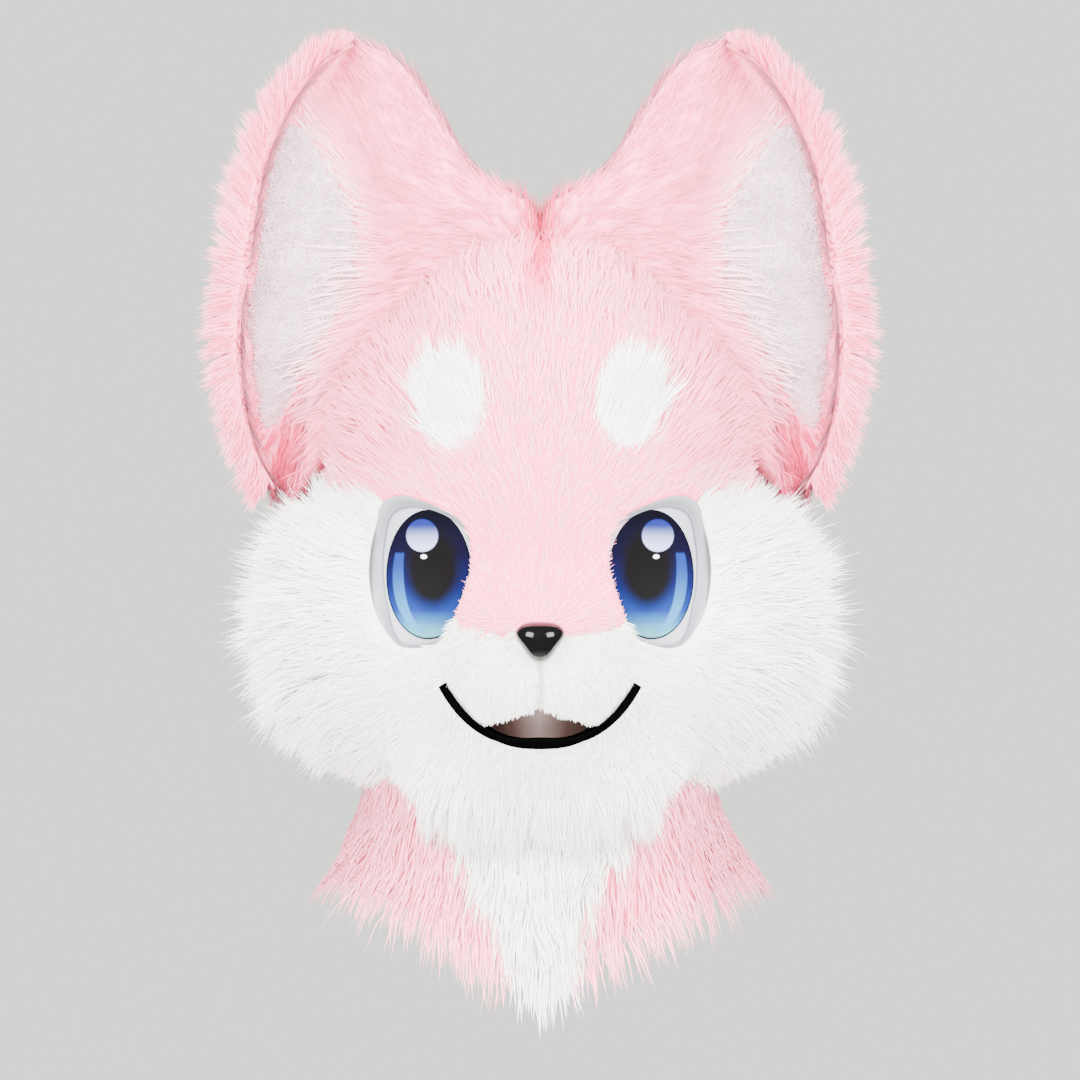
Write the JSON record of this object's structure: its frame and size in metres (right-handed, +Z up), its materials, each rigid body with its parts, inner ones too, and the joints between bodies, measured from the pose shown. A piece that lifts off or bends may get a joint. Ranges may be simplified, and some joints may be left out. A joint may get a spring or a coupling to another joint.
{
  "type": "fursuit head",
  "caption": "Hollow furry animal head costume with big plush-lined ears, set-in eyes, cheek ruff, open smiling mouth and a fur neck with a pointed bib.",
  "frame": {"origin": "top of the hollow, where the foam rests on the wearer's crown", "axes": "+Z up, the face looks along -Y, +X towards the wearer's left"},
  "size_m": [0.4572, 0.3488, 0.637],
  "materials": {
    "foam": "open-cell upholstery foam, matte",
    "pink": "soft pink faux fur",
    "white": "white faux fur",
    "plush": "short white plush",
    "panel": "off-white see-through mesh",
    "rim": "matte pale rim",
    "iris": "printed mesh, navy to pale blue",
    "gloss": "glossy black",
    "lip": "black felt",
    "lining": "mauve-brown lining"
  },
  "bodies": {
    "root": {"head_base": "foam", "crown_fur": "pink", "brow_patch_left": "white", "brow_patch_right": "white", "cheek_fur_left": "white", "cheek_fur_right": "white", "muzzle_fur": "white", "chin_fur": "white", "ear_fur_left": "pink", "ear_fur_right": "pink", "ear_plush_left": "plush", "ear_plush_right": "plush", "eye_panel_left": "panel", "eye_panel_right": "panel", "eye_rim_left": "rim", "eye_rim_right": "rim", "eye_iris_left": "iris", "eye_iris_right": "iris", "nose": "gloss", "mouth_lip": "lip", "mouth_lining": "lining", "neck_fur": "pink", "bib_fur": "white"}
  },
  "joints": []
}
